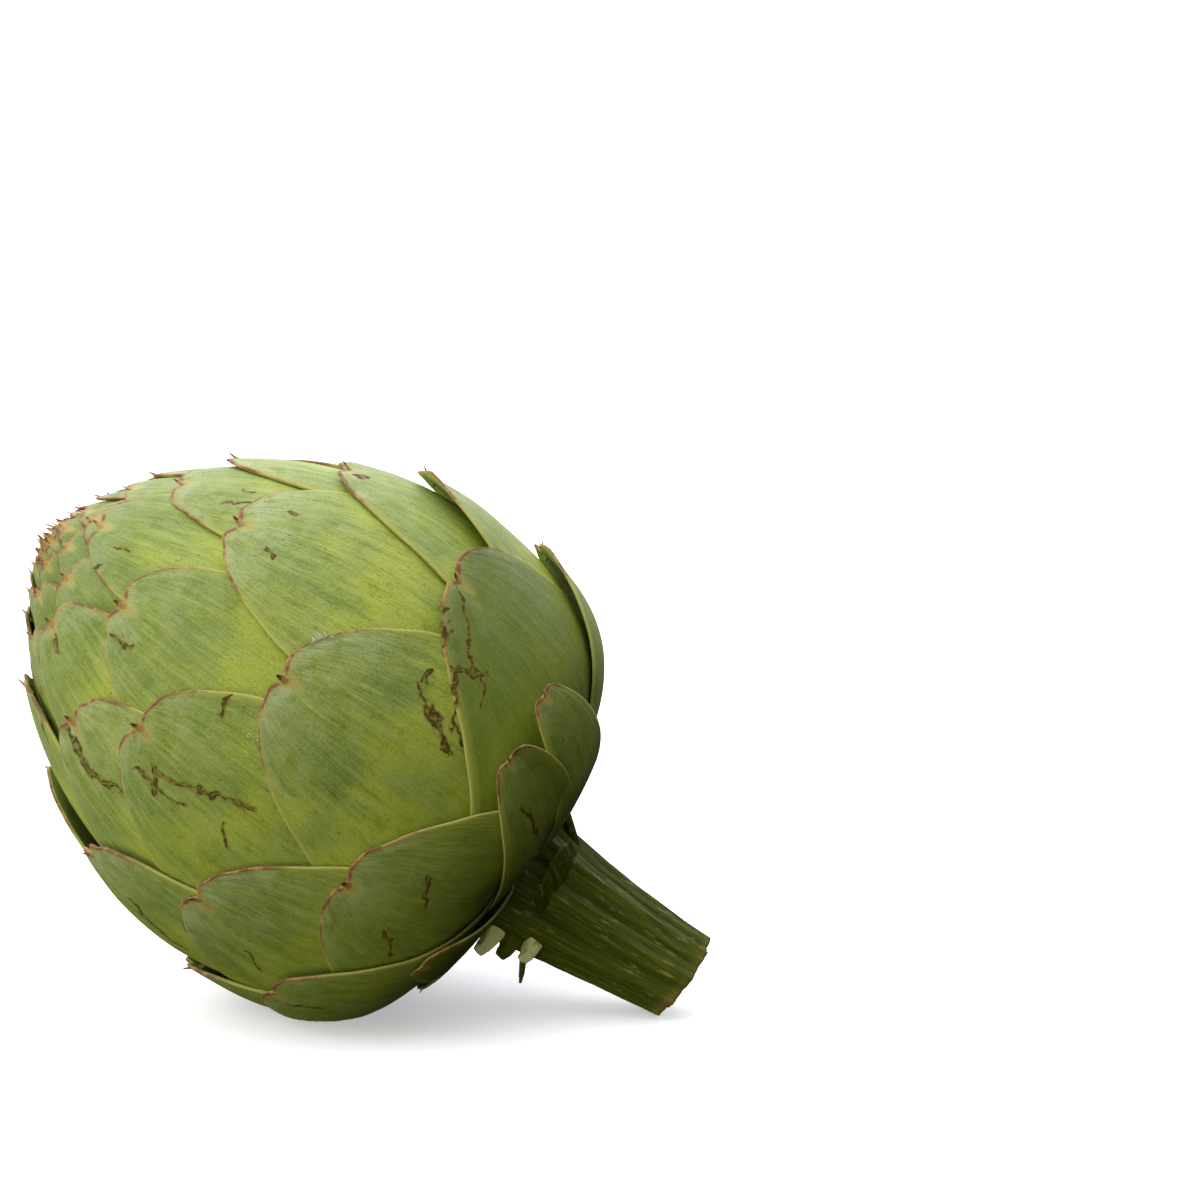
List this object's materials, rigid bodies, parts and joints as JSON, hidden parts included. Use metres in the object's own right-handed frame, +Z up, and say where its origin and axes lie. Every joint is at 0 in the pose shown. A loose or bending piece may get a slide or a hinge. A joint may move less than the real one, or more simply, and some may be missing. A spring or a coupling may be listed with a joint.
{
  "type": "artichoke",
  "caption": "Globe artichoke lying on its side: overlapping notched bracts in a spiral round a globe, with a short ribbed stem cut square.",
  "frame": {"origin": "middle of the flat spot on the low side of the head, on the surface that the part lies on", "axes": "+Z up from the surface, +X along the surface from the apex of the head towards the cut end of the stem"},
  "size_m": [0.1317, 0.1035, 0.106],
  "materials": {
    "bracts": "matt waxy leaf",
    "stem": "matt fibrous stalk"
  },
  "bodies": {
    "root": {"head": "bracts", "stem": "stem"}
  },
  "joints": []
}
